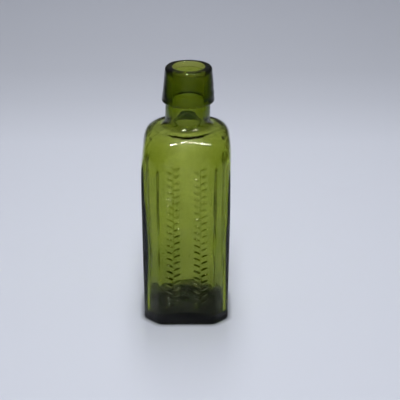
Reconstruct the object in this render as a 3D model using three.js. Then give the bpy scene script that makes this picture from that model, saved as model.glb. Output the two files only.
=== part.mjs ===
import * as THREE from "three";

// Square schnapps bottle of olive-green glass, in two pieces as it was made: the body blown in a mould,
// and the lip laid round the cracked-off end of its neck as a second gather. Millimetres, +Z up, the
// origin at the middle of the face that the bottle rests on, the front panel towards -Y.

// Whole bottle
const HEIGHT = 178.5;
const LEAN_START = 113.5;
const LEAN_SPAN = 62.5;
const LEAN_REACH = 2.0;
const LEAN_GROWTH = 0.6;

// Body outside: half width at the foot, and how much the sides lean outwards for each mm of height
const FOOT_HALF = 29;
const SIDE_SLOPE = 0.0118;
const FOOT_ROUND = 1.4;
const LEFT_BEVEL = 10.4;
const RIGHT_BEVEL = 9.2;
const EDGE_SHARPNESS = 50;
const BODY_SQUARENESS = 14;
const ROUND_SECTION = 2;

// Shoulder: starts to draw in at SHOULDER_START and lies nearly flat at the root of the neck
const SHOULDER_START = 90;
const SHOULDER_TOP = 137.2;
const SHOULDER_HOLD = 6.2;
const SHOULDER_TURN = 0.325;
const CORNER_FADE = 1.8;
const NECK_ROOT_RADIUS = 19.5;

// Neck, its end inside the lip, and the bore
const NECK_RADIUS = 15.15;
const NECK_FILLET = 4.4;
const NECK_TAPER_START = 150;
const NECK_END = 174.7;
const NECK_END_RADIUS = 13;
const END_BEVEL = 0.5;
const BORE_RADIUS = 10.9;

// Glass thickness
const LEFT_WALL_THIN = 2.3;
const LEFT_WALL_EXTRA = 2.4;
const RIGHT_WALL_THIN = 2.0;
const RIGHT_WALL_EXTRA = 1.3;
const PANEL_WALL = 2.7;
const BEVEL_WALL = 2.7;
const SHOULDER_WALL = 1.6;
const SHOULDER_THINS_FROM = 108;
const SHOULDER_THINS_TO = 126;
const THICK_BAND_HEIGHT = 52;
const THICK_BAND_SPREAD = 34;

// Cavity: its shoulder turns over more sharply than the outside, and the flare into the bore is wide
// except at the back, where it is INNER_ROOT_DIP narrower
const INNER_SHOULDER_TOP = 135.6;
const INNER_HOLD = 8;
const INNER_TURN = 0.34;
const INNER_ROOT_WIDE = 19.2;
const INNER_ROOT_DIP = 3.8;
const INNER_ROOT_RISE = 7.4;
const FLOOR_CROWN = 12;
const FLOOR_FALL = 0.0075;
const FLOOR_FILLET = 2.6;

// Push-up under the base
const PUSH_UP_HEIGHT = 3;
const PUSH_UP_RADIUS = 24;

// Applied lip
const LIP_BOTTOM = 154.3;
const LIP_BOTTOM_RADIUS = 17.75;
const LIP_TOP_RADIUS = 15.7;
const LIP_EDGE = 2.0;
const LIP_BOTTOM_EDGE = 0.6;
const MOUTH_ROUND = 0.5;
const JOINT_GAP = 0.3;

// Facets round the bottle, in degrees: each eighth of a turn has its panel, the bevel edge and the bevel
const PANEL_STEPS = 3;
const EDGE_STEPS = 5;
const EDGE_FROM = 29;
const EDGE_TO = 39;
const EIGHTH = 45;

// Facets along the glass
const ROUND_STEPS = 4;
const SHOULDER_STEPS = 11;
const WALL_STEPS = 5;
const NECK_STEPS = 2;
const LIP_STEPS = 4;
const PUSH_UP_STEPS = 5;
const FLOOR_STEPS = 4;
const LOWEST_WALL_RING = 24;
const QUARTER_TURN = Math.PI / 2;

function ringAngles() {
  const eighth = [];
  for (let i = 0; i < PANEL_STEPS; i++) {
    eighth.push((EDGE_FROM * i) / PANEL_STEPS);
  }
  for (let i = 0; i <= EDGE_STEPS; i++) {
    eighth.push(EDGE_FROM + ((EDGE_TO - EDGE_FROM) * i) / EDGE_STEPS);
  }
  const mirrored = eighth.slice(1).reverse().map((degrees) => 2 * EIGHTH - degrees);
  const quarter = [...eighth, EIGHTH, ...mirrored];
  const turn = [0, 1, 2, 3].flatMap((side) => quarter.map((degrees) => 2 * EIGHTH * side + degrees));
  return turn.map((degrees) => THREE.MathUtils.degToRad(degrees));
}

const ANGLES = ringAngles();

// The neck stands a little out of true: everything above LEAN_START moves towards +X with height
function lean(z) {
  return z <= LEAN_START ? 0 : LEAN_REACH * ((z - LEAN_START) / LEAN_SPAN) ** LEAN_GROWTH;
}

// Radius of a rounded square with its corners cut by flat bevels, in the direction of an angle.
// halfX and halfY are the distances to the sides, power 2 makes it round and a high power square,
// and reach is where the bevel planes |x| + |y| = reach stand.
function sectionRadius(angle, halfX, halfY, power, reach) {
  const c = Math.abs(Math.cos(angle));
  const s = Math.abs(Math.sin(angle));
  const square = 1 / ((c / halfX) ** power + (s / halfY) ** power) ** (1 / power);
  const bevel = reach / (c + s);
  const sum = square ** -EDGE_SHARPNESS + bevel ** -EDGE_SHARPNESS;
  return sum ** (-1 / EDGE_SHARPNESS);
}

function isLeft(angle) {
  return Math.cos(angle) < 0;
}

function outerHalf(z) {
  return FOOT_HALF + SIDE_SLOPE * Math.min(z, SHOULDER_START);
}

function bevelReach(angle, z) {
  return 2 * outerHalf(z) - (isLeft(angle) ? LEFT_BEVEL : RIGHT_BEVEL);
}

// How far up the shoulder a height is, from 0 at its start to 1 at the root of the neck
function shoulderRise(z, top) {
  return THREE.MathUtils.clamp((z - SHOULDER_START) / (top - SHOULDER_START), 0, 1);
}

function shoulderHalf(rise, wallHalf, rootRadius, hold, turn) {
  return rootRadius + (wallHalf - rootRadius) * (1 - rise ** hold) ** turn;
}

function squareness(rise) {
  return ROUND_SECTION + (BODY_SQUARENESS - ROUND_SECTION) * (1 - rise) ** CORNER_FADE;
}

// Heights of the shoulder rings, set closer together where the shoulder turns over
function shoulderHeights(top) {
  return spread(0, QUARTER_TURN, SHOULDER_STEPS).slice(1, -1).map((turn) => {
    return SHOULDER_START + (top - SHOULDER_START) * Math.sin(turn) ** (2 / SHOULDER_HOLD);
  });
}

function outerRadius(angle, z) {
  const rise = shoulderRise(z, SHOULDER_TOP);
  const half = shoulderHalf(rise, outerHalf(z), NECK_ROOT_RADIUS, SHOULDER_HOLD, SHOULDER_TURN);
  return sectionRadius(angle, half, half, squareness(rise), bevelReach(angle, z));
}

// The walls thin to the shoulder's thickness where the glass was blown into the shoulder of the mould
function towardsShoulder(wall, z) {
  const share = THREE.MathUtils.smoothstep(z, SHOULDER_THINS_FROM, SHOULDER_THINS_TO);
  return THREE.MathUtils.lerp(wall, SHOULDER_WALL, share);
}

// The glass ran thicker in a band below the middle of the side walls, most on the left
function sideWall(angle, z) {
  const band = Math.exp(-(((z - THICK_BAND_HEIGHT) / THICK_BAND_SPREAD) ** 2));
  const thin = isLeft(angle) ? LEFT_WALL_THIN : RIGHT_WALL_THIN;
  const extra = isLeft(angle) ? LEFT_WALL_EXTRA : RIGHT_WALL_EXTRA;
  return towardsShoulder(thin + extra * band, z);
}

// Radius at which the bore's flare meets the cavity's shoulder: narrower at the back
function innerRoot(angle) {
  return INNER_ROOT_WIDE - INNER_ROOT_DIP * Math.max(Math.sin(angle), 0) ** 4;
}

function innerRadius(angle, z) {
  const rise = shoulderRise(z, INNER_SHOULDER_TOP);
  const turnOver = [innerRoot(angle), INNER_HOLD, INNER_TURN];
  const halfX = shoulderHalf(rise, outerHalf(z) - sideWall(angle, z), ...turnOver);
  const halfY = shoulderHalf(rise, outerHalf(z) - PANEL_WALL, ...turnOver);
  const reach = bevelReach(angle, z) - towardsShoulder(BEVEL_WALL, z) * Math.SQRT2;
  return sectionRadius(angle, halfX, halfY, squareness(rise), reach);
}

function neckRadius(z) {
  const taper = Math.max(0, (z - NECK_TAPER_START) / (NECK_END - NECK_TAPER_START));
  return NECK_RADIUS + (NECK_END_RADIUS - NECK_RADIUS) * taper;
}

function floorHeight(radius) {
  return FLOOR_CROWN - FLOOR_FALL * radius ** 2;
}

// One ring of points: radiusAt and heightAt give the radius and the height in each direction
function ring(radiusAt, heightAt) {
  return ANGLES.map((angle) => {
    const radius = radiusAt(angle);
    const z = heightAt(angle, radius);
    return new THREE.Vector3(radius * Math.cos(angle) + lean(z), radius * Math.sin(angle), z);
  });
}

function roundRing(radius, z) {
  return ring(() => radius, () => z);
}

function spread(from, to, steps) {
  return Array.from({ length: steps + 1 }, (_, i) => from + ((to - from) * i) / steps);
}

// Closed surface through rings that follow each other with the glass on the side that keeps their
// outside facing out. Without poles the last ring joins the first.
function loft(rings, poles) {
  const count = ANGLES.length;
  const points = rings.flat();
  const faces = [];
  const last = poles ? rings.length - 1 : rings.length;
  for (let i = 0; i < last; i++) {
    const low = i * count;
    const high = ((i + 1) % rings.length) * count;
    for (let j = 0; j < count; j++) {
      const next = (j + 1) % count;
      faces.push(low + j, low + next, high + next);
      faces.push(low + j, high + next, high + j);
    }
  }
  if (poles) {
    const end = (rings.length - 1) * count;
    const first = points.push(poles[0]) - 1;
    const final = points.push(poles[1]) - 1;
    for (let j = 0; j < count; j++) {
      const next = (j + 1) % count;
      faces.push(first, next, j);
      faces.push(final, end + j, end + next);
    }
  }
  const geometry = new THREE.BufferGeometry();
  const coordinates = new Float32Array(points.flatMap((point) => point.toArray()));
  geometry.setAttribute("position", new THREE.BufferAttribute(coordinates, 3));
  geometry.setIndex(faces);
  geometry.computeVertexNormals();
  return geometry;
}

// Underside: the push-up rises to the middle inside a flat rim, which is what the bottle stands on
function undersideRings() {
  return spread(0, 1, PUSH_UP_STEPS).slice(1).map((share) => {
    return roundRing(PUSH_UP_RADIUS * share, PUSH_UP_HEIGHT * (1 - share ** 2));
  });
}

function footRings() {
  return spread(0, QUARTER_TURN, ROUND_STEPS).map((turn) => {
    const z = FOOT_ROUND * (1 - Math.cos(turn));
    const inset = FOOT_ROUND * (1 - Math.sin(turn));
    return ring((angle) => outerRadius(angle, z) - inset, () => z);
  });
}

function outerRings() {
  const heights = [SHOULDER_START / 2, SHOULDER_START, ...shoulderHeights(SHOULDER_TOP)];
  return heights.map((z) => ring((angle) => outerRadius(angle, z), () => z));
}

// Neck outside, from the small fillet at its root to the bevelled end that the lip sits on
function neckRings() {
  const fillet = spread(0, QUARTER_TURN, ROUND_STEPS).map((turn) => {
    const radius = NECK_RADIUS + (NECK_ROOT_RADIUS - NECK_RADIUS) * (1 - Math.sin(turn));
    return roundRing(radius, SHOULDER_TOP + NECK_FILLET * (1 - Math.cos(turn)));
  });
  const taper = spread(NECK_TAPER_START, NECK_END - END_BEVEL, NECK_STEPS);
  return [
    ...fillet,
    ...taper.map((z) => roundRing(neckRadius(z), z)),
    roundRing(NECK_END_RADIUS - END_BEVEL, NECK_END),
    roundRing(BORE_RADIUS + END_BEVEL, NECK_END),
  ];
}

// Bore down to the cavity, which it opens into with a rounded root
function boreRings() {
  const rootTop = INNER_SHOULDER_TOP + INNER_ROOT_RISE;
  const straight = spread(NECK_END - END_BEVEL, NECK_TAPER_START, NECK_STEPS);
  const root = spread(0, QUARTER_TURN, ROUND_STEPS).map((turn) => {
    const widening = 1 - Math.cos(turn);
    const radiusAt = (angle) => BORE_RADIUS + (innerRoot(angle) - BORE_RADIUS) * widening;
    return ring(radiusAt, () => rootTop - INNER_ROOT_RISE * Math.sin(turn));
  });
  return [...straight.map((z) => roundRing(BORE_RADIUS, z)), ...root];
}

function cavityRings() {
  const shoulder = shoulderHeights(INNER_SHOULDER_TOP).reverse();
  const wall = spread(SHOULDER_START, LOWEST_WALL_RING, WALL_STEPS);
  return [...shoulder, ...wall].map((z) => ring((angle) => innerRadius(angle, z), () => z));
}

// Cavity floor: a low dome over the push-up, so that it meets the panels higher than the corners
function floorRings() {
  const wallRadius = (angle) => innerRadius(angle, FLOOR_CROWN);
  const fillet = spread(QUARTER_TURN, 0, ROUND_STEPS).map((turn) =>
    ring(
      (angle) => wallRadius(angle) - FLOOR_FILLET * (1 - Math.sin(turn)),
      (angle, radius) => floorHeight(radius) + FLOOR_FILLET * (1 - Math.cos(turn)),
    ),
  );
  const dome = spread(1, 0, FLOOR_STEPS).slice(1, -1).map((share) =>
    ring(
      (angle) => share * (wallRadius(angle) - FLOOR_FILLET),
      (angle, radius) => floorHeight(radius),
    ),
  );
  return [...fillet, ...dome];
}

function bottleBody() {
  const rings = [
    ...undersideRings(),
    ...footRings(),
    ...outerRings(),
    ...neckRings(),
    ...boreRings(),
    ...cavityRings(),
    ...floorRings(),
  ];
  return loft(rings, [new THREE.Vector3(0, 0, PUSH_UP_HEIGHT), new THREE.Vector3(0, 0, FLOOR_CROWN)]);
}

// Lip outside: a sloping collar, widest at its sharp lower edge, rounded over into the mouth rim
function lipOutside() {
  const slope = spread(LIP_BOTTOM + LIP_BOTTOM_EDGE, HEIGHT - LIP_EDGE, LIP_STEPS).map((z) => {
    const rise = (z - LIP_BOTTOM) / (HEIGHT - LIP_EDGE - LIP_BOTTOM);
    return [LIP_BOTTOM_RADIUS + (LIP_TOP_RADIUS - LIP_BOTTOM_RADIUS) * rise, z];
  });
  const edge = spread(0, QUARTER_TURN, LIP_STEPS).slice(1).map((turn) => [
    LIP_TOP_RADIUS - LIP_EDGE * (1 - Math.cos(turn)),
    HEIGHT - LIP_EDGE * (1 - Math.sin(turn)),
  ]);
  return [[LIP_BOTTOM_RADIUS - LIP_BOTTOM_EDGE, LIP_BOTTOM], ...slope, ...edge];
}

// Lip inside: the top of the bore, the seat that rests on the neck end and the sleeve round the neck
function lipInside() {
  const seat = NECK_END + JOINT_GAP;
  const sleeve = spread(NECK_END - END_BEVEL, LIP_BOTTOM, NECK_STEPS);
  return [
    [BORE_RADIUS + MOUTH_ROUND, HEIGHT],
    [BORE_RADIUS, HEIGHT - MOUTH_ROUND],
    [BORE_RADIUS, seat],
    [NECK_END_RADIUS - END_BEVEL + JOINT_GAP / 2, seat],
    ...sleeve.map((z) => [neckRadius(z) + JOINT_GAP, z]),
  ];
}

function appliedLip() {
  return loft([...lipOutside(), ...lipInside()].map(([radius, z]) => roundRing(radius, z)), null);
}

function glass(color) {
  return new THREE.MeshStandardMaterial({ color, roughness: 0.06, metalness: 0 });
}

function piece(name, geometry, material) {
  const mesh = new THREE.Mesh(geometry, material);
  mesh.name = name;
  return mesh;
}

const bottle = new THREE.Group();
bottle.add(piece("bottle_body", bottleBody(), glass(0x7c8a34)));
bottle.add(piece("applied_collar", appliedLip(), glass(0x5a6420)));

export default bottle;
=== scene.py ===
"""Looks of a square schnapps bottle: olive-green glass blown in a mould, with an applied lip.

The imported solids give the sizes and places. Each glass piece is worked out again here as a fine closed
surface, with finer walls, waviness and relief than the solids have. Shape values are in millimetres, and
the meshes are in metres.
"""

import math

import bpy
import numpy as np
from mathutils import Matrix, Vector


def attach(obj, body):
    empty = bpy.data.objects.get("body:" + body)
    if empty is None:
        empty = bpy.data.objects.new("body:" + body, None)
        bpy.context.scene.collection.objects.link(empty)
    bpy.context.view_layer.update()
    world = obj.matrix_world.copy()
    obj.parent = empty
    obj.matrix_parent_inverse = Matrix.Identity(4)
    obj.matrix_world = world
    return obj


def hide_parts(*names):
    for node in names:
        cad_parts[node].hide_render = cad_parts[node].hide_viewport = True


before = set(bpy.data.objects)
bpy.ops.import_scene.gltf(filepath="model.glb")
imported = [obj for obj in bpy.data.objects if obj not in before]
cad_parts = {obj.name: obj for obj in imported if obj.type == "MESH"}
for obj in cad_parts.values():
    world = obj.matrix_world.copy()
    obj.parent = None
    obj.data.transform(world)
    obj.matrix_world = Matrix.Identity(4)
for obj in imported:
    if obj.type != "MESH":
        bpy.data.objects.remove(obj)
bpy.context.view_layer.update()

MM = 0.001

# Whole bottle, as in the solids
HEIGHT = 178.5
LEAN_START, LEAN_SPAN, LEAN_REACH, LEAN_GROWTH = 113.5, 62.5, 2.0, 0.6

# Body outside
FOOT_HALF, SIDE_SLOPE, FOOT_ROUND = 29.0, 0.0118, 2.2
LEFT_BEVEL, RIGHT_BEVEL = 10.4, 9.2
PANEL_EDGE_SHARPNESS, SIDE_EDGE_SHARPNESS = 60, 160
INNER_SHARPNESS, INNER_SHOULDER_SHARPNESS, INNER_SHARPNESS_POWER = 24, 10, 4
BODY_SQUARENESS, ROUND_SECTION = 14, 2
SHOULDER_START, SHOULDER_TOP = 90.0, 137.2
SHOULDER_HOLD, SHOULDER_TURN, CORNER_FADE = 6.2, 0.325, 1.4
NECK_ROOT_RADIUS = 19.5

# Neck and bore
NECK_RADIUS, NECK_FILLET, NECK_TAPER_START = 15.15, 4.4, 150.0
NECK_END, NECK_END_RADIUS, END_BEVEL, BORE_RADIUS = 174.7, 13.0, 0.5, 10.9

# Glass thickness. The inside follows how the light passes, so it differs from the solids by up to 2.4 mm.
LEFT_WALL_THIN, LEFT_WALL_EXTRA = 2.3, 2.4
RIGHT_WALL_THIN, RIGHT_WALL_EXTRA = 2.0, 1.3
PANEL_WALL, PANEL_WALL_EXTRA, BEVEL_WALL = 2.6, 0.3, 2.7
SHOULDER_WALL, SHOULDER_THINS_FROM, SHOULDER_THINS_TO = 1.6, 108.0, 126.0
THICK_BAND_HEIGHT, THICK_BAND_SPREAD = 52.0, 34.0

# Cavity, push-up and foot
INNER_SHOULDER_TOP, INNER_HOLD, INNER_TURN = 135.6, 8.0, 0.34
INNER_ROOT_WIDE, INNER_ROOT_DIP, INNER_ROOT_LEAD = 19.2, 3.8, 4.0
INNER_ROOT_RISE, INNER_ROOT_SIDE_RISE = 5.6, 4.0
INNER_DIP_POWER, INNER_LEAD_POWER = 4, 6
FLOOR_CROWN, FLOOR_FALL, FLOOR_FILLET = 12.0, 0.0075, 2.6
PUSH_UP_HEIGHT, PUSH_UP_RADIUS, PUSH_UP_EDGE, PUSH_UP_LIFT = 3.0, 24.0, 0.6, 0.12

# Applied lip. It is fused to the neck, so the two surfaces pass each other by a hair at the joint.
LIP_BOTTOM, LIP_BOTTOM_RADIUS, LIP_TOP_RADIUS = 154.3, 17.75, 15.7
LIP_EDGE, LIP_BOTTOM_EDGE, MOUTH_ROUND = 2.0, 1.4, 0.5
JOINT_OVERLAP = 0.02

QUARTER = math.pi / 2
FRONT = 1.5 * math.pi


# Shape of the glass

def lean(z):
    """How far the glass stands off the axis towards +X: a power of the height above LEAN_START."""
    return LEAN_REACH * (np.maximum(z - LEAN_START, 0.0) / LEAN_SPAN) ** LEAN_GROWTH


def section_radius(angle, half_x, half_y, power, reach, sharpness):
    """Radius of a superellipse cut by the bevel planes |x| + |y| = reach, joined by a smooth minimum."""
    c = np.abs(np.cos(angle))
    s = np.abs(np.sin(angle))
    square = 1.0 / ((c / half_x) ** power + (s / half_y) ** power) ** (1.0 / power)
    bevel = reach / (c + s)
    return square * (1 + (square / bevel) ** sharpness) ** (-1.0 / sharpness)


def outer_half(z):
    return FOOT_HALF + SIDE_SLOPE * np.minimum(z, SHOULDER_START)


def bevel_reach(angle, z):
    return 2 * outer_half(z) - np.where(np.cos(angle) < 0, LEFT_BEVEL, RIGHT_BEVEL)


def shoulder_rise(z, top):
    return np.clip((z - SHOULDER_START) / (top - SHOULDER_START), 0.0, 1.0)


def inner_root(angle):
    """Radius at which the bore's flare meets the cavity's shoulder: narrower at the back, wider in front."""
    back = np.maximum(np.sin(angle), 0.0) ** INNER_DIP_POWER
    ahead = np.maximum(-np.sin(angle), 0.0) ** INNER_LEAD_POWER
    return INNER_ROOT_WIDE - INNER_ROOT_DIP * back + INNER_ROOT_LEAD * ahead


def shoulder_half(rise, wall_half, root_radius, hold, turn):
    return root_radius + (wall_half - root_radius) * (1 - rise ** hold) ** turn


def squareness(rise):
    return ROUND_SECTION + (BODY_SQUARENESS - ROUND_SECTION) * (1 - rise) ** CORNER_FADE


def outer_radius(angle, z):
    rise = shoulder_rise(z, SHOULDER_TOP)
    half = shoulder_half(rise, outer_half(z), NECK_ROOT_RADIUS, SHOULDER_HOLD, SHOULDER_TURN)
    on_panel = np.abs(np.sin(angle)) > np.abs(np.cos(angle))
    sharpness = np.where(on_panel, PANEL_EDGE_SHARPNESS, SIDE_EDGE_SHARPNESS)
    return section_radius(angle, half, half, squareness(rise), bevel_reach(angle, z), sharpness)


def thick_band(z):
    """How far the glass has run down: 1 where the walls are thickest, with a bell curve of the height."""
    return np.exp(-((z - THICK_BAND_HEIGHT) / THICK_BAND_SPREAD) ** 2)


def towards_shoulder(wall, z):
    """A wall that thins to the shoulder's thickness on a smooth step of the height."""
    share = np.clip((z - SHOULDER_THINS_FROM) / (SHOULDER_THINS_TO - SHOULDER_THINS_FROM), 0, 1)
    return wall + (SHOULDER_WALL - wall) * share ** 2 * (3 - 2 * share)


def side_wall(angle, z):
    left = np.cos(angle) < 0
    thin = np.where(left, LEFT_WALL_THIN, RIGHT_WALL_THIN)
    extra = np.where(left, LEFT_WALL_EXTRA, RIGHT_WALL_EXTRA)
    return towards_shoulder(thin + extra * thick_band(z), z)


def inner_radius(angle, z):
    rise = shoulder_rise(z, INNER_SHOULDER_TOP)
    turn_over = (inner_root(angle), INNER_HOLD, INNER_TURN)
    panel_wall = PANEL_WALL + PANEL_WALL_EXTRA * thick_band(z)
    half_x = shoulder_half(rise, outer_half(z) - side_wall(angle, z), *turn_over)
    half_y = shoulder_half(rise, outer_half(z) - panel_wall, *turn_over)
    reach = bevel_reach(angle, z) - towards_shoulder(BEVEL_WALL, z) * math.sqrt(2)
    change = INNER_SHOULDER_SHARPNESS - INNER_SHARPNESS
    sharpness = INNER_SHARPNESS + change * rise ** INNER_SHARPNESS_POWER
    return section_radius(angle, half_x, half_y, squareness(rise), reach, sharpness)


def neck_radius(z):
    taper = np.maximum(z - NECK_TAPER_START, 0.0) / (NECK_END - NECK_TAPER_START)
    return NECK_RADIUS + (NECK_END_RADIUS - NECK_RADIUS) * taper


def floor_height(radius):
    return FLOOR_CROWN - FLOOR_FALL * radius ** 2


def shoulder_heights(top, count):
    """Heights from the start of the shoulder to just below its top, closer where it turns over."""
    turn = np.linspace(0, QUARTER, count + 1)[1:-1]
    return SHOULDER_START + (top - SHOULDER_START) * np.sin(turn) ** (2.0 / SHOULDER_HOLD)


# Grids and meshes

EAR_PLACES = (-8.6, 9.9)
EAR_HALF = 5.2
EAR_STEP = 0.26
CORNER_TURNS = (31.5, 32.9, 33.9, 34.9, 36.2)


def body_angles():
    """Angles round the body: even steps of x over the two ears, and closer steps at the bevels' edges."""
    ears = [np.arange(-EAR_HALF, EAR_HALF + EAR_STEP / 2, EAR_STEP) + place for place in EAR_PLACES]
    between = np.linspace(ears[0][-1], ears[1][0], 7)[1:-1]
    front = np.concatenate([ears[0], between, ears[1]])
    relief = FRONT + np.arctan2(front, FOOT_HALF)
    flat = np.linspace(0, CORNER_TURNS[0], 6)[:-1]
    eighth = np.concatenate([flat, CORNER_TURNS, [40, 45]])
    quarter = np.concatenate([eighth, 90 - eighth[-2:0:-1]])
    turn = FRONT + np.radians(np.concatenate([quarter + 90 * i for i in range(4)]))
    margin = math.radians(1.5)
    first, last = relief[0] - margin, relief[-1] + margin
    clear = ((turn > last) & (turn < first + 2 * math.pi))
    return np.concatenate([relief, turn[clear]])


def even_angles(count):
    return np.linspace(0, 2 * math.pi, count, endpoint=False)


def place(radius, z, angle):
    """Points of rings: radius and height for each ring and angle, moved over by the lean."""
    radius, z, angle = np.broadcast_arrays(radius, z, angle)
    return np.stack([radius * np.cos(angle) + lean(z), radius * np.sin(angle), z], axis=-1)


def grid_normals(points, wrap):
    """Unit normals of a ring grid, from the cross product of its two central differences."""
    around = np.roll(points, -1, axis=1) - np.roll(points, 1, axis=1)
    if wrap:
        along = np.roll(points, -1, axis=0) - np.roll(points, 1, axis=0)
    else:
        along = np.gradient(points, axis=0)
    normals = np.cross(around, along)
    return normals / np.maximum(np.linalg.norm(normals, axis=-1, keepdims=True), 1e-9)


class Waves:
    """Smooth random height field: a sum of cosines of the place, along seeded random directions."""

    def __init__(self, seed, count, shortest, longest, stretch=(1, 1, 1)):
        rng = np.random.default_rng(seed)
        direction = rng.normal(size=(count, 3))
        direction /= np.linalg.norm(direction, axis=1, keepdims=True)
        length = shortest * (longest / shortest) ** rng.random(count)
        self.turns = 2 * math.pi * direction / length[:, None] / np.array(stretch)
        self.phases = rng.random(count) * 2 * math.pi

    def __call__(self, points):
        return np.cos(points @ self.turns.T + self.phases).sum(axis=-1) / math.sqrt(len(self.phases) / 2)


def ring_faces(rings, count, wrap):
    """Quads between neighbouring rings, with their outside facing along the grid's normals."""
    last = rings if wrap else rings - 1
    i, j = np.meshgrid(np.arange(last), np.arange(count), indexing="ij")
    low, high, across = i * count, ((i + 1) % rings) * count, (j + 1) % count
    return np.stack([low + j, low + across, high + across, high + j], axis=-1).reshape(-1, 4)


def shell(points, poles=None):
    """Places and faces of one closed surface from a ring grid, with fans to its two poles if it has them."""
    rings, count, _ = points.shape
    places = points.reshape(-1, 3)
    faces = ring_faces(rings, count, wrap=poles is None).tolist()
    if poles is not None:
        first = len(places)
        end = (rings - 1) * count
        step = np.arange(count)
        across = (step + 1) % count
        faces += np.stack([np.full(count, first), across, step], axis=1).tolist()
        faces += np.stack([np.full(count, first + 1), end + step, end + across], axis=1).tolist()
        places = np.concatenate([places, poles])
    return places, faces


def glass_mesh(name, shells):
    """One smooth mesh in metres from closed surfaces in millimetres."""
    places, faces = [], []
    for shell_places, shell_faces in shells:
        start = len(places)
        places += (shell_places * MM).tolist()
        faces += [[start + corner for corner in face] for face in shell_faces]
    mesh = bpy.data.meshes.new(name)
    mesh.from_pydata(places, [], faces)
    mesh.shade_smooth()
    piece = bpy.data.objects.new(name, mesh)
    bpy.context.scene.collection.objects.link(piece)
    return piece


# Relief on the front panel: two upright ears of grain

EAR_FROM, EAR_TO = 15.0, 119.0
EAR_PITCH = 4.9
LEAF_ROOT, LEAF_REACH, LEAF_CLIMB = 0.4, 4.4, 2.3
LEAF_WIDTH, STEM_WIDTH = 1.7, 0.9
RELIEF_HEIGHT = 0.95
STEM_SHARE = 0.7
LEAF_SKEW, LEAF_FULLNESS, LEAF_CREST, LEAF_THINNEST = 0.8, 0.6, 1.6, 0.05
EAR_END_FADE = 2.0
FRONT_SHARE = 0.8


def bead(distance, width):
    """A rounded raised line: a half ellipse across its width."""
    return np.sqrt(np.clip(1 - (2 * distance / width) ** 2, 0.0, 1.0))


def ear_relief(x, z):
    """Height of one ear: a stem, and leaves by turns to its left and right, which taper to a point."""
    best = STEM_SHARE * bead(np.abs(x), STEM_WIDTH)
    side = np.abs(x) - LEAF_ROOT
    length = math.hypot(LEAF_REACH, LEAF_CLIMB)
    shift = np.where(x > 0, 0.5, 0.0)
    base = np.floor((z - EAR_FROM) / EAR_PITCH - shift)
    for back in (0, 1):
        foot = EAR_FROM + (base - back + shift) * EAR_PITCH
        along = (side * LEAF_REACH + (z - foot) * LEAF_CLIMB) / length ** 2
        across = (side * LEAF_CLIMB - (z - foot) * LEAF_REACH) / length
        belly = np.sin(math.pi * np.clip(along, 0, 1) ** LEAF_SKEW) ** LEAF_FULLNESS
        width = np.maximum(LEAF_WIDTH * belly, LEAF_THINNEST)
        leaf = bead(np.abs(across), width) * np.minimum(1, LEAF_CREST * belly)
        best = np.maximum(best, leaf)
    ends = np.clip((z - EAR_FROM) / EAR_END_FADE, 0, 1) * np.clip((EAR_TO - z) / EAR_END_FADE, 0, 1)
    return best * ends


def panel_relief(points):
    x, z = points[..., 0], points[..., 2]
    front = points[..., 1] < -FOOT_HALF * FRONT_SHARE
    total = np.zeros_like(x)
    for centre in EAR_PLACES:
        near = front & (np.abs(x - centre) < EAR_HALF)
        total = np.where(near, np.maximum(total, ear_relief(x - centre, z)), total)
    return RELIEF_HEIGHT * total


# Body

RELIEF_STEP = 0.32
CRINKLE_HEIGHT, CRINKLE_SPREAD = 133.0, 4.0
OUTER_CRINKLE, INNER_CRINKLE = 0.025, 0.09
OUTER_CRINKLE_WAVES = dict(seed=41, count=48, shortest=1.8, longest=5.0)
INNER_CRINKLE_WAVES = dict(seed=43, count=48, shortest=2.0, longest=5.0)
OUTER_SWELL = dict(seed=11, count=40, shortest=16, longest=48, stretch=(1, 1, 1.6))
INNER_SWELL = dict(seed=29, count=40, shortest=14, longest=42, stretch=(1, 1, 1.5))

# How far each zone of the surface waves, and how far a waving zone is set in
PUSH_UP_WAVE, LOW_WALL_WAVE, PANEL_WAVE, SHOULDER_WAVE = 0.12, 0.05, 0.06, 0.10
NECK_ROOT_WAVE, BORE_WAVE, FLARE_WAVE, INNER_WALL_WAVE = 0.05, 0.03, 0.05, 0.22
FLOOR_EDGE_WAVE, FLOOR_WAVE = 0.2, 0.25
WAVE_INSET = 0.03

SEED_COUNT, SEED_SMALLEST, SEED_LARGEST, SEED_LENGTH = 44, 0.14, 0.42, 2.0
SEEDS_FROM, SEEDS_TO = 20.0, 116.0


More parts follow.
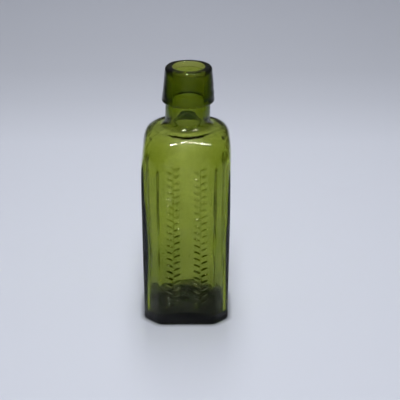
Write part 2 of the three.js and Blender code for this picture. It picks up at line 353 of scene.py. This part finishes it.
def body_rings(angle):
    """Radius, height and waviness of every ring of the body, from the push-up round to the cavity floor."""
    rings = []

    def add(radius, z, wave, inner=False):
        radius, z = np.broadcast_arrays(radius, z)
        for r, h in zip(np.atleast_2d(radius), np.atleast_2d(z)):
            rings.append((np.broadcast_to(r, angle.shape), np.broadcast_to(h, angle.shape), wave, inner))

    def column(values):
        return np.asarray(values, dtype=float)[:, None]

    share = column(np.linspace(0.08, 1, 14))
    bowl = PUSH_UP_RADIUS - PUSH_UP_EDGE
    add(bowl * share, PUSH_UP_HEIGHT * (1 - share ** 2) + PUSH_UP_LIFT * share, PUSH_UP_WAVE)
    add(column([PUSH_UP_RADIUS, PUSH_UP_RADIUS + PUSH_UP_EDGE]), column([0.03, 0.0]), 0.0)
    turn = column(np.linspace(0, QUARTER, 7))
    foot = FOOT_ROUND * (1 - np.cos(turn))
    add(outer_radius(angle, foot) - FOOT_ROUND * (1 - np.sin(turn)), foot, 0.0)
    low = column(np.linspace(FOOT_ROUND, EAR_FROM - 2, 9)[1:])
    add(outer_radius(angle, low), low, LOW_WALL_WAVE)
    panel = column(np.arange(EAR_FROM - 2 + RELIEF_STEP, EAR_TO + 2, RELIEF_STEP))
    add(outer_radius(angle, panel), panel, PANEL_WAVE)
    turn_over = shoulder_heights(SHOULDER_TOP, 56)
    turn_over = column(turn_over[turn_over > EAR_TO + 2])
    add(outer_radius(angle, turn_over), turn_over, SHOULDER_WAVE)
    turn = column(np.linspace(0, QUARTER, 7))
    add(NECK_RADIUS + (NECK_ROOT_RADIUS - NECK_RADIUS) * (1 - np.sin(turn)),
        SHOULDER_TOP + NECK_FILLET * (1 - np.cos(turn)), NECK_ROOT_WAVE)
    neck = column(np.linspace(SHOULDER_TOP + NECK_FILLET, NECK_END - END_BEVEL, 26)[1:])
    add(neck_radius(neck), neck, 0.0)
    turn = column(np.linspace(0, QUARTER, 5)[1:])
    add(NECK_END_RADIUS - END_BEVEL * (1 - np.cos(turn)), NECK_END - END_BEVEL * (1 - np.sin(turn)), 0.0)
    add(column([BORE_RADIUS + END_BEVEL, BORE_RADIUS]), NECK_END, 0.0)
    root_rise = INNER_ROOT_RISE + INNER_ROOT_SIDE_RISE * np.cos(angle) ** 2
    root_top = INNER_SHOULDER_TOP + root_rise
    share = column(np.linspace(0, 1, 16))
    add(BORE_RADIUS, (NECK_END - END_BEVEL) * (1 - share) + root_top * share, BORE_WAVE, inner=True)
    turn = column(np.linspace(0, QUARTER, 8)[1:])
    add(BORE_RADIUS + (inner_root(angle) - BORE_RADIUS) * (1 - np.cos(turn)),
        root_top - root_rise * np.sin(turn), FLARE_WAVE, inner=True)
    inner = column(shoulder_heights(INNER_SHOULDER_TOP, 40)[::-1])
    add(inner_radius(angle, inner), inner, SHOULDER_WAVE, inner=True)
    wall = column(np.linspace(SHOULDER_START, 24, 24))
    add(inner_radius(angle, wall), wall, INNER_WALL_WAVE, inner=True)
    wall_radius = inner_radius(angle, np.full((1, 1), FLOOR_CROWN))
    turn = column(np.linspace(QUARTER, 0, 9))
    radius = wall_radius - FLOOR_FILLET * (1 - np.sin(turn))
    add(radius, floor_height(radius) + FLOOR_FILLET * (1 - np.cos(turn)), FLOOR_EDGE_WAVE, inner=True)
    share = column(np.linspace(1, 0.05, 14)[1:])
    radius = share * (wall_radius - FLOOR_FILLET)
    add(radius, floor_height(radius), FLOOR_WAVE, inner=True)
    return rings


def smooth_steps(values, reach=4):
    kernel = np.hanning(2 * reach + 3)[1:-1]
    padded = np.pad(values, reach, mode="edge")
    return np.convolve(padded, kernel / kernel.sum(), mode="valid")


def seeds():
    """Bubbles in the middle of the walls, drawn out upwards. Their surfaces face the air inside them."""
    rng = np.random.default_rng(17)
    turn = -even_angles(10)[None, :]
    rise = np.linspace(-1, 1, 9)[1:-1, None]
    belly = np.sqrt(1 - rise ** 2)
    parts = np.broadcast_arrays(belly * np.cos(turn), belly * np.sin(turn), SEED_LENGTH * rise)
    ball = np.stack(parts, axis=-1)
    ends = np.array([[0, 0, -SEED_LENGTH], [0, 0, SEED_LENGTH]])
    shells = []
    for _ in range(SEED_COUNT):
        angle = rng.random() * 2 * math.pi
        z = rng.uniform(SEEDS_FROM, SEEDS_TO)
        size = SEED_SMALLEST * (SEED_LARGEST / SEED_SMALLEST) ** rng.random()
        middle = (outer_radius(angle, z) + inner_radius(angle, z)) / 2
        centre = place(middle, z, angle)
        shells.append(shell(centre + size * ball, centre + size * ends))
    return shells


def bottle_body():
    angle = body_angles()
    rings = body_rings(angle)
    radius = np.stack([ring[0] for ring in rings])
    z = np.stack([ring[1] for ring in rings])
    still = np.array([ring[2] == 0.0 for ring in rings])
    wave = np.where(still, 0.0, smooth_steps(np.array([ring[2] for ring in rings])))
    points = place(radius, z, angle[None, :])
    normals = grid_normals(points, wrap=False)
    inside = np.array([ring[3] for ring in rings])
    swell = np.where(inside[:, None], Waves(**INNER_SWELL)(points), Waves(**OUTER_SWELL)(points))
    points = points + normals * (wave[:, None] * swell - WAVE_INSET * (wave[:, None] > 0))[..., None]
    crinkle = np.exp(-((z - CRINKLE_HEIGHT) / CRINKLE_SPREAD) ** 2)
    fine = np.where(inside[:, None], INNER_CRINKLE * Waves(**INNER_CRINKLE_WAVES)(points),
                    OUTER_CRINKLE * Waves(**OUTER_CRINKLE_WAVES)(points))
    points = points + normals * (crinkle * fine)[..., None]
    outside = (z > FOOT_ROUND + 1) & (z < SHOULDER_TOP) & ~inside[:, None]
    points = points + normals * np.where(outside, panel_relief(points), 0.0)[..., None]
    poles = np.array([[0, 0, PUSH_UP_HEIGHT], [0, 0, FLOOR_CROWN]], dtype=float)
    return glass_mesh("bottle_body_glass", [shell(points, poles)] + seeds())


# Lip

def lip_profile():
    """Closed outline of the lip as radius and height: up the slope, over the rim, down bore and sleeve."""
    def curve(count, centre, size, start, end):
        turn = np.linspace(start, end, count)
        return np.stack([centre[0] + size * np.cos(turn), centre[1] + size * np.sin(turn)], axis=1)

    def line(start, end, count):
        return np.linspace(start, end, count, endpoint=False)[1:]

    foot_centre = (LIP_BOTTOM_RADIUS - LIP_BOTTOM_EDGE, LIP_BOTTOM + LIP_BOTTOM_EDGE)
    foot = curve(6, foot_centre, LIP_BOTTOM_EDGE, -QUARTER, 0)
    edge = curve(12, (LIP_TOP_RADIUS - LIP_EDGE, HEIGHT - LIP_EDGE), LIP_EDGE, 0, QUARTER)
    mouth = curve(6, (BORE_RADIUS + MOUTH_ROUND, HEIGHT - MOUTH_ROUND), MOUTH_ROUND, QUARTER, 2 * QUARTER)
    seat = NECK_END - JOINT_OVERLAP
    seat_in = (BORE_RADIUS, seat)
    seat_out = (NECK_END_RADIUS - END_BEVEL, seat)
    sleeve_top = (NECK_END_RADIUS - JOINT_OVERLAP, NECK_END - END_BEVEL)
    sleeve_bottom = (float(neck_radius(LIP_BOTTOM)) - JOINT_OVERLAP, LIP_BOTTOM)
    return np.concatenate([
        foot, line(foot[-1], edge[0], 40), edge, line(edge[-1], mouth[0], 5), mouth,
        line(mouth[-1], seat_in, 6), [seat_in], line(seat_in, seat_out, 4), [seat_out],
        line(seat_out, sleeve_top, 3), [sleeve_top], line(sleeve_top, sleeve_bottom, 24), [sleeve_bottom],
        line(sleeve_bottom, foot[0], 5),
    ])


LIP_SIDES = 192
LIP_SLEEVE_DEPTH = 0.6
TOOLING_WAVE, LIP_SWELL_WAVE = 0.03, 0.07
TOOLING_WAVES = dict(seed=5, count=30, shortest=3.0, longest=9.0, stretch=(9, 9, 1))
LIP_SWELL_WAVES = dict(seed=6, count=24, shortest=14, longest=40)


def applied_collar():
    profile = lip_profile()
    angle = even_angles(LIP_SIDES)[None, :]
    points = place(profile[:, :1], profile[:, 1:], angle)
    normals = grid_normals(points, wrap=True)
    outside = profile[:, 0] > neck_radius(profile[:, 1]) + LIP_SLEEVE_DEPTH
    tooling = Waves(**TOOLING_WAVES)(points)
    swell = Waves(**LIP_SWELL_WAVES)(points)
    mask = smooth_steps(outside.astype(float), 2)[:, None]
    wave = TOOLING_WAVE * tooling + LIP_SWELL_WAVE * swell - WAVE_INSET
    points = points + normals * (mask * wave)[..., None]
    return glass_mesh("applied_collar_glass", [shell(points)])


# Materials

def value_socket(group, name, default, high=100.0):
    socket = group.interface.new_socket(name=name, in_out="INPUT", socket_type="NodeSocketFloat")
    socket.default_value = default
    socket.min_value = 0.0
    socket.max_value = high
    return socket


def node(tree, kind, **values):
    """A new node with its inputs set by name."""
    made = tree.nodes.new(kind)
    for name, value in values.items():
        made.inputs[name.replace("_", " ")].default_value = value
    return made


def math_output(tree, operation, *feeds):
    """The value of a new Math node, with its inputs linked in order."""
    made = tree.nodes.new("ShaderNodeMath")
    made.operation = operation
    for number, feed in enumerate(feeds):
        tree.links.new(feed, made.inputs[number])
    return made.outputs["Value"]


CRINKLE_FADES_OUT, CRINKLE_IS_FULL = 0.009, 0.002
HAZE_STARTS, HAZE_IS_FULL = 0.52, 0.72
DARK_TINT, PALE_TINT = (0.90, 0.92, 0.84, 1), (1.0, 1.0, 0.97, 1)


def glass_skin_group():
    """Old glass surface: ripples, upright streaks near the bevels, crinkles on the shoulder, and haze."""
    group = bpy.data.node_groups.new("glass_skin", "ShaderNodeTree")
    value_socket(group, "Ripple Scale", 160.0, high=5000.0)
    value_socket(group, "Streak Scale", 380.0, high=5000.0)
    value_socket(group, "Streak Strength", 2.5)
    value_socket(group, "Streaks From", 0.0155)
    value_socket(group, "Streaks To", 0.0195)
    value_socket(group, "Crinkle Scale", 650.0, high=5000.0)
    value_socket(group, "Crinkle Strength", 0.25)
    value_socket(group, "Crinkle Height", 0.1325)
    value_socket(group, "Haze Scale", 40.0, high=5000.0)
    value_socket(group, "Clear Roughness", 0.01)
    value_socket(group, "Haze Roughness", 0.08)
    for name, kind in (("Height", "Float"), ("Roughness", "Float"), ("Tint", "Color")):
        group.interface.new_socket(name=name, in_out="OUTPUT", socket_type="NodeSocket" + kind)
    given = group.nodes.new("NodeGroupInput")
    result = group.nodes.new("NodeGroupOutput")
    link = group.links.new
    coordinates = group.nodes.new("ShaderNodeTexCoord")
    ripple = node(group, "ShaderNodeTexNoise", Detail=2.0, Roughness=0.5)
    link(coordinates.outputs["Object"], ripple.inputs["Vector"])
    link(given.outputs["Ripple Scale"], ripple.inputs["Scale"])
    upright = node(group, "ShaderNodeMapping", Scale=(1.0, 1.0, 0.05))
    link(coordinates.outputs["Object"], upright.inputs["Vector"])
    streaks = node(group, "ShaderNodeTexNoise", Detail=2.0, Roughness=0.6)
    link(upright.outputs["Vector"], streaks.inputs["Vector"])
    link(given.outputs["Streak Scale"], streaks.inputs["Scale"])
    parts = group.nodes.new("ShaderNodeSeparateXYZ")
    link(coordinates.outputs["Object"], parts.inputs["Vector"])
    sideways = math_output(group, "ABSOLUTE", parts.outputs["X"])
    near_bevel = group.nodes.new("ShaderNodeMapRange")
    link(sideways, near_bevel.inputs["Value"])
    link(given.outputs["Streaks From"], near_bevel.inputs["From Min"])
    link(given.outputs["Streaks To"], near_bevel.inputs["From Max"])
    link(given.outputs["Streak Strength"], near_bevel.inputs["To Max"])
    height = math_output(
        group, "MULTIPLY_ADD", streaks.outputs["Fac"], near_bevel.outputs["Result"], ripple.outputs["Fac"])
    crinkles = node(group, "ShaderNodeTexNoise", Detail=1.0, Roughness=0.5)
    link(coordinates.outputs["Object"], crinkles.inputs["Vector"])
    link(given.outputs["Crinkle Scale"], crinkles.inputs["Scale"])
    above = math_output(group, "SUBTRACT", parts.outputs["Z"], given.outputs["Crinkle Height"])
    away = math_output(group, "ABSOLUTE", above)
    on_shoulder = node(group, "ShaderNodeMapRange", From_Min=CRINKLE_FADES_OUT, From_Max=CRINKLE_IS_FULL)
    link(away, on_shoulder.inputs["Value"])
    link(given.outputs["Crinkle Strength"], on_shoulder.inputs["To Max"])
    crinkled = math_output(
        group, "MULTIPLY_ADD", crinkles.outputs["Fac"], on_shoulder.outputs["Result"], height)
    link(crinkled, result.inputs["Height"])
    haze = node(group, "ShaderNodeTexNoise", Detail=4.0, Roughness=0.6)
    link(coordinates.outputs["Object"], haze.inputs["Vector"])
    link(given.outputs["Haze Scale"], haze.inputs["Scale"])
    spread = node(group, "ShaderNodeMapRange", From_Min=HAZE_STARTS, From_Max=HAZE_IS_FULL)
    link(haze.outputs["Fac"], spread.inputs["Value"])
    link(given.outputs["Clear Roughness"], spread.inputs["To Min"])
    link(given.outputs["Haze Roughness"], spread.inputs["To Max"])
    link(spread.outputs["Result"], result.inputs["Roughness"])
    tint_place = node(group, "ShaderNodeMapping", Scale=(1.0, 1.0, 0.25))
    link(coordinates.outputs["Object"], tint_place.inputs["Vector"])
    tint_noise = node(group, "ShaderNodeTexNoise", Detail=3.0, Scale=60.0)
    link(tint_place.outputs["Vector"], tint_noise.inputs["Vector"])
    ramp = group.nodes.new("ShaderNodeValToRGB")
    ramp.color_ramp.elements[0].position = 0.3
    ramp.color_ramp.elements[0].color = DARK_TINT
    ramp.color_ramp.elements[1].position = 0.7
    ramp.color_ramp.elements[1].color = PALE_TINT
    link(tint_noise.outputs["Fac"], ramp.inputs["Fac"])
    link(ramp.outputs["Color"], result.inputs["Tint"])
    return group


# Absorption in 1/m for red, green and blue. The reflections are weaker than those of clear glass.
BODY_ABSORPTION = (195.0, 164.0, 580.0)
LIP_ABSORPTION = (174.0, 162.0, 450.0)
SPECULAR = (0.4, 0.4, 0.4, 1.0)
RIPPLE_DEPTH = 0.00004


def olive_glass(name, skin, absorption):
    """Clear olive glass: its colour comes from the length of the way through it."""
    material = bpy.data.materials.new(name)
    material.use_nodes = True
    tree = material.node_tree
    tree.nodes.clear()
    link = tree.links.new
    shader = node(tree, "ShaderNodeBsdfPrincipled", Metallic=0.0, IOR=1.5)
    shader.inputs["Transmission Weight"].default_value = 1.0
    shader.inputs["Specular Tint"].default_value = SPECULAR
    surface = tree.nodes.new("ShaderNodeGroup")
    surface.node_tree = skin
    link(surface.outputs["Tint"], shader.inputs["Base Color"])
    link(surface.outputs["Roughness"], shader.inputs["Roughness"])
    bump = node(tree, "ShaderNodeBump", Strength=1.0, Distance=RIPPLE_DEPTH)
    link(surface.outputs["Height"], bump.inputs["Height"])
    link(bump.outputs["Normal"], shader.inputs["Normal"])
    density = max(absorption)
    volume = node(tree, "ShaderNodeVolumeAbsorption", Density=density)
    volume.inputs["Color"].default_value = (*[1 - part / density for part in absorption], 1)
    output = tree.nodes.new("ShaderNodeOutputMaterial")
    link(shader.outputs["BSDF"], output.inputs["Surface"])
    link(volume.outputs["Volume"], output.inputs["Volume"])
    return material


# Stage, lights and camera

PAPER_COLOUR = (0.654, 0.684, 0.774)
# Painted shade on the paper by its distance behind the bottle, in metres: the tones stand in for how the
# light falls off over it
PAPER_SHADE_BY_DEPTH = (
    (0.0, 0.96), (0.15, 0.975), (0.32, 1.0), (0.44, 0.903), (0.53, 0.866), (0.62, 0.896), (0.85, 1.04),
)
# Painted shade: the paper darkens towards its sides between these distances, as if out of the lamps' reach.
PAPER_SHADE_FROM, PAPER_SHADE_TO, PAPER_SIDE_SHADE = 0.40, 0.62, 0.15
# Reach of the painted contact shadow on the paper round the glass, in metres.
CONTACT_SHADOW_REACH = 0.004
SWEEP_HALF_WIDTH, SWEEP_FRONT, SWEEP_FLAT, SWEEP_BACK, SWEEP_BEND, SWEEP_TOP = 2.0, -1.6, 0.3, 1.05, 0.3, 0.4


def paper_sweep():
    """A sheet of pale paper: flat under the bottle, then bent up behind it on a quarter circle."""
    turn = np.linspace(0, QUARTER, 17)
    bend_y = SWEEP_BACK + SWEEP_BEND * np.sin(turn)
    bend_z = SWEEP_BEND * (1 - np.cos(turn))
    y = np.concatenate([[SWEEP_FRONT, -SWEEP_FLAT, SWEEP_FLAT], bend_y, [SWEEP_BACK + SWEEP_BEND]])
    z = np.concatenate([[0.0, 0.0, 0.0], bend_z, [SWEEP_TOP]])
    left = np.stack([np.full_like(y, -SWEEP_HALF_WIDTH), y, z], axis=1)
    right = left * (-1, 1, 1)
    count = len(y)
    step = np.arange(count - 1)
    faces = np.stack([step, step + count, step + count + 1, step + 1], axis=1)
    mesh = bpy.data.meshes.new("paper_sweep")
    mesh.from_pydata(np.concatenate([left, right]).tolist(), [], faces.tolist())
    mesh.shade_smooth()
    sweep = bpy.data.objects.new("paper_sweep", mesh)
    bpy.context.scene.collection.objects.link(sweep)
    return sweep


def paper_material():
    """Pale paper with painted shade: its tone varies with depth and falls off to the sides where the light
    falls off, and a painted contact shadow darkens it close to the glass.
    """
    material = bpy.data.materials.new("pale_paper")
    material.use_nodes = True
    tree = material.node_tree
    shader = tree.nodes["Principled BSDF"]
    shader.inputs["Roughness"].default_value = 0.9
    shader.inputs["Specular IOR Level"].default_value = 0.1
    coordinates = tree.nodes.new("ShaderNodeTexCoord")
    parts = tree.nodes.new("ShaderNodeSeparateXYZ")
    tree.links.new(coordinates.outputs["Object"], parts.inputs["Vector"])
    # Painted shade: the paper's colour rises and falls with depth behind the bottle, standing in for the
    # light's fall-off.
    ramp = tree.nodes.new("ShaderNodeValToRGB")
    stops = ramp.color_ramp.elements
    while len(stops) < len(PAPER_SHADE_BY_DEPTH):
        stops.new(0.5)
    for stop, (distance, tone) in zip(stops, PAPER_SHADE_BY_DEPTH):
        stop.position = distance
        stop.color = (*[tone * part for part in PAPER_COLOUR], 1)
    tree.links.new(parts.outputs["Y"], ramp.inputs["Fac"])
    # Painted shade towards the paper's sides.
    sideways = math_output(tree, "ABSOLUTE", parts.outputs["X"])
    painted_side_shade = node(tree, "ShaderNodeMapRange", From_Min=PAPER_SHADE_FROM, From_Max=PAPER_SHADE_TO)
    painted_side_shade.inputs["To Min"].default_value = 1.0
    painted_side_shade.inputs["To Max"].default_value = PAPER_SIDE_SHADE
    tree.links.new(sideways, painted_side_shade.inputs["Value"])
    shaded_paper_colour = tree.nodes.new("ShaderNodeVectorMath")
    shaded_paper_colour.operation = "SCALE"
    tree.links.new(ramp.outputs["Color"], shaded_paper_colour.inputs[0])
    tree.links.new(painted_side_shade.outputs["Result"], shaded_paper_colour.inputs["Scale"])
    # Painted contact shadow: an ambient occlusion node darkens the paper's colour close to the glass.
    painted_contact_shadow = node(tree, "ShaderNodeAmbientOcclusion", Distance=CONTACT_SHADOW_REACH)
    tree.links.new(shaded_paper_colour.outputs["Vector"], painted_contact_shadow.inputs["Color"])
    tree.links.new(painted_contact_shadow.outputs["Color"], shader.inputs["Base Color"])
    return material


def studio_world(low, high):
    """Even light from all round, a little stronger overhead."""
    world = bpy.data.worlds.new("soft_studio")
    bpy.context.scene.world = world
    world.use_nodes = True
    tree = world.node_tree
    background = tree.nodes["Background"]
    coordinates = tree.nodes.new("ShaderNodeTexCoord")
    parts = tree.nodes.new("ShaderNodeSeparateXYZ")
    tree.links.new(coordinates.outputs["Generated"], parts.inputs["Vector"])
    rise = node(tree, "ShaderNodeMapRange", From_Min=0.0, From_Max=1.0)
    tree.links.new(parts.outputs["Z"], rise.inputs["Value"])
    mix = tree.nodes.new("ShaderNodeMix")
    mix.data_type = "RGBA"
    mix.inputs["A"].default_value = (*low, 1)
    mix.inputs["B"].default_value = (*high, 1)
    tree.links.new(rise.outputs["Result"], mix.inputs["Factor"])
    tree.links.new(mix.outputs["Result"], background.inputs["Color"])


def softbox(name, place_at, aim_at, size, watts, lights_paper=True):
    """An area lamp that lights the paper only, or else one that only the glass reflects and passes on."""
    light = bpy.data.lights.new(name, "AREA")
    light.shape = "RECTANGLE"
    light.size, light.size_y = size
    light.energy = watts
    lamp = bpy.data.objects.new(name, light)
    lamp.location = place_at
    lamp.rotation_euler = (Vector(aim_at) - Vector(place_at)).to_track_quat("-Z", "Y").to_euler()
    lamp.visible_diffuse = lights_paper
    lamp.visible_glossy = not lights_paper
    lamp.visible_transmission = not lights_paper
    bpy.context.scene.collection.objects.link(lamp)
    return lamp


# The photograph's camera, from its outline, mouth ellipse, lip edge and base corners
FRAME_PX = 400
FOCAL_PX = 1430.2
SENSOR = 36.0
CAMERA_PLACE = (0.00971, -0.9032, 0.4751)
CAMERA_PITCH, CAMERA_ROLL, CAMERA_TURN = 23.53, 0.117, -0.617


def photo_camera():
    pitch, roll = math.radians(CAMERA_PITCH), math.radians(CAMERA_ROLL)
    ahead = Vector((0, math.cos(pitch), -math.sin(pitch)))
    right = Vector((1, 0, 0))
    up = right.cross(ahead)
    across = math.cos(roll) * right + math.sin(roll) * up
    upward = -math.sin(roll) * right + math.cos(roll) * up
    turn = Matrix.Rotation(math.radians(CAMERA_TURN), 4, "Z")
    axes = Matrix((across, upward, -ahead)).transposed().to_4x4()
    data = bpy.data.cameras.new("photo_camera")
    data.sensor_width = SENSOR
    data.sensor_fit = "HORIZONTAL"
    data.lens = FOCAL_PX / FRAME_PX * SENSOR
    camera = bpy.data.objects.new("photo_camera", data)
    camera.matrix_world = turn @ Matrix.Translation(CAMERA_PLACE) @ axes
    bpy.context.scene.collection.objects.link(camera)
    bpy.context.scene.camera = camera


photo_camera()
bpy.context.scene.view_settings.view_transform = "Standard"

skin = glass_skin_group()
body = bottle_body()
body.data.materials.append(olive_glass("body_glass_olive", skin, BODY_ABSORPTION))
collar = applied_collar()
collar.data.materials.append(olive_glass("lip_glass_olive", skin, LIP_ABSORPTION))
for glass_piece, cad_node, slot_name in (
    (body, "bottle_body", "body_glass"),
    (collar, "applied_collar", "lip_glass"),
):
    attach(glass_piece, "root")
    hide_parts(cad_node)

sweep = paper_sweep()
sweep.data.materials.append(paper_material())
studio_world(low=(0.05, 0.05, 0.055), high=(0.20, 0.205, 0.215))
softbox("overhead_softbox", (0.0, 0.15, 0.85), (0, 0.15, 0.0), (0.16, 0.90), 4.7)
softbox("front_softbox", (0.0, -0.6, 1.0), (0, 0, 0.05), (0.16, 0.30), 4.8)
softbox("strip_light", (0.15, -0.60, 0.97), (0, 0, 0.13), (1.30, 0.12), 42.0, lights_paper=False)
